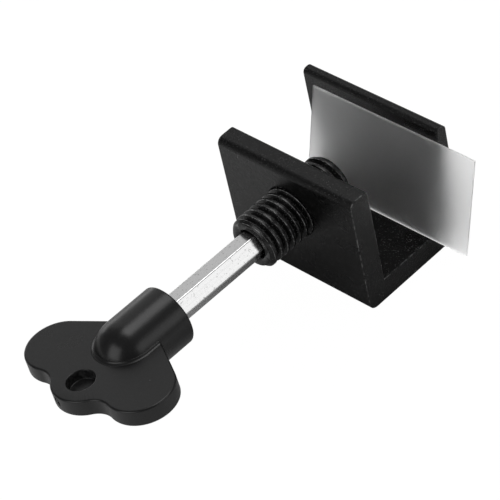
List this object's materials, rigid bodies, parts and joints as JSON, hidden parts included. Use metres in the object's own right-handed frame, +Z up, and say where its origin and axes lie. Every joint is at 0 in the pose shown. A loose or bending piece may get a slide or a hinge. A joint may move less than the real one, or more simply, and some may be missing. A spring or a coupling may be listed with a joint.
{
  "type": "sliding window lock",
  "caption": "Black channel clamp for a sliding window rail, locked by a coarse socket screw with a hex key and a loose plastic sheet.",
  "frame": {"origin": "on the rear wall's inner face, where the screw's axis meets it", "axes": "+Y from the key through the front wall to the rear wall along the screw's axis, +Z up out of the channel, +X along the channel"},
  "size_m": [0.0506, 0.0996, 0.0312],
  "materials": {
    "clamp_body": "black, fine satin texture, sharp edges worn a little lighter",
    "protective_sheet": "frosted, translucent",
    "lock_screw": "black oxide, half gloss, bright on the thread's corners",
    "key_shank": "bright plating, drawn bar",
    "key_handle": "smooth satin moulding"
  },
  "bodies": {
    "clamp": {"clamp_body": "clamp_body", "protective_sheet": "protective_sheet"},
    "key": {"key_shank": "key_shank", "key_handle": "key_handle"},
    "screw": {"lock_screw": "lock_screw"}
  },
  "joints": [
    {"name": "key_turn", "type": "hinge", "parent": "clamp", "child": "key", "pos_m": [0, 0, 0], "axis": [0, 1, 0], "range_deg": [-1401, 1696]},
    {"name": "screw_travel", "type": "slide", "parent": "key", "child": "screw", "axis": [0, 1, 0], "range_m": [-0.0076, 0.0092]}
  ],
  "couplings": [
    {"joint": "key_turn", "follows": "screw_travel", "rad_per_m": 3215.6}
  ]
}
